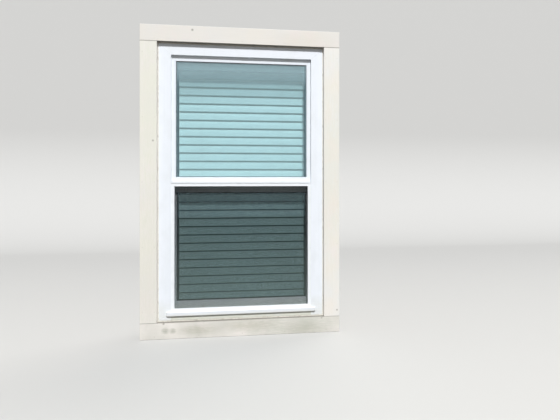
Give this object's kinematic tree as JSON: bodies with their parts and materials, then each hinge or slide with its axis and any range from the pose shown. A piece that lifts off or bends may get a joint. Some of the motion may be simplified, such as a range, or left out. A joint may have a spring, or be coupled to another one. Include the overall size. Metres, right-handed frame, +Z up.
{
  "type": "sash window",
  "caption": "Single-hung white vinyl sash window with a wood casing and box, a half insect screen and a closed slatted blind.",
  "frame": {"origin": "middle of the wall-side land on the back of the bottom casing board", "axes": "+X to the right seen from outside, +Y into the building, +Z up"},
  "size_m": [1.0922, 0.1664, 1.7019],
  "materials": {
    "painted_wood": "painted satin",
    "box_wood": "primed",
    "vinyl": "extruded satin",
    "glass": "low-emissivity coated",
    "spacer": "mill",
    "gasket": "matt",
    "sealant": "matt",
    "pile": "woven pile",
    "lock_metal": "satin",
    "steel": "zinc plated",
    "balance_plastic": "moulded",
    "latch_plastic": "moulded",
    "screen_metal": "painted",
    "screen_mesh": "woven glass fibre, coated",
    "blind_slat": "extruded satin",
    "blind_cord": "braided"
  },
  "bodies": {
    "frame": {"casing_head": "painted_wood", "casing_left": "painted_wood", "casing_right": "painted_wood", "casing_bottom": "painted_wood", "box_head": "box_wood", "box_jamb_left": "box_wood", "box_jamb_right": "box_wood", "box_sill": "box_wood", "extension_head": "box_wood", "extension_left": "box_wood", "extension_right": "box_wood", "extension_stool": "box_wood", "vinyl_jamb_left": "vinyl", "vinyl_jamb_right": "vinyl", "vinyl_head": "vinyl", "vinyl_sill": "vinyl", "sill_nosing": "vinyl", "upper_sash": "vinyl", "upper_glazing_beads": "vinyl", "upper_outer_pane": "glass", "upper_inner_pane": "glass", "upper_spacer": "spacer", "upper_gasket": "gasket", "screen_spline": "gasket", "perimeter_sealant": "sealant", "lock_keeper": "lock_metal", "installation_screws": "steel", "balance_tube_left": "balance_plastic", "balance_tube_right": "balance_plastic", "screen_corner_keys": "latch_plastic", "screen_pull_tabs": "latch_plastic", "screen_bar_left": "screen_metal", "screen_bar_right": "screen_metal", "screen_bar_top": "screen_metal", "screen_bar_bottom": "screen_metal", "screen_mesh": "screen_mesh", "blind_slats": "blind_slat", "blind_headrail": "blind_slat", "blind_bottom_rail": "blind_slat", "blind_ladders": "blind_cord"},
    "lower_sash": {"lower_sash": "vinyl", "lower_glazing_beads": "vinyl", "lower_outer_pane": "glass", "lower_inner_pane": "glass", "lower_spacer": "spacer", "lower_gasket": "gasket", "bottom_bulb_seal": "gasket", "meeting_rail_seal": "pile", "side_pile_left": "pile", "side_pile_right": "pile", "lock_base": "lock_metal", "pivot_bar_left": "steel", "pivot_bar_right": "steel", "balance_shoe_left": "balance_plastic", "balance_shoe_right": "balance_plastic", "balance_rod_left": "steel", "balance_rod_right": "steel"},
    "lock_lever": {"lock_lever": "lock_metal"},
    "tilt_latch_left": {"tilt_latch_left": "latch_plastic"},
    "tilt_latch_right": {"tilt_latch_right": "latch_plastic"}
  },
  "joints": [
    {"name": "lower_sash_slide", "type": "slide", "parent": "frame", "child": "lower_sash", "axis": [0, 0, 1], "range_m": [0, 0.6], "stiffness_N_per_m": 20, "springref_m": 5.75},
    {"name": "lock_turn", "type": "hinge", "parent": "lower_sash", "child": "lock_lever", "pos_m": [0, 0.0616, 0.83005], "axis": [0, 0, 1], "range_deg": [0, 180]},
    {"name": "tilt_latch_left_slide", "type": "slide", "parent": "lower_sash", "child": "tilt_latch_left", "axis": [1, 0, 0], "range_m": [0, 0.01], "stiffness_N_per_m": 300, "springref_m": -0.01},
    {"name": "tilt_latch_right_slide", "type": "slide", "parent": "lower_sash", "child": "tilt_latch_right", "axis": [-1, 0, 0], "range_m": [0, 0.01], "stiffness_N_per_m": 300, "springref_m": -0.01}
  ]
}
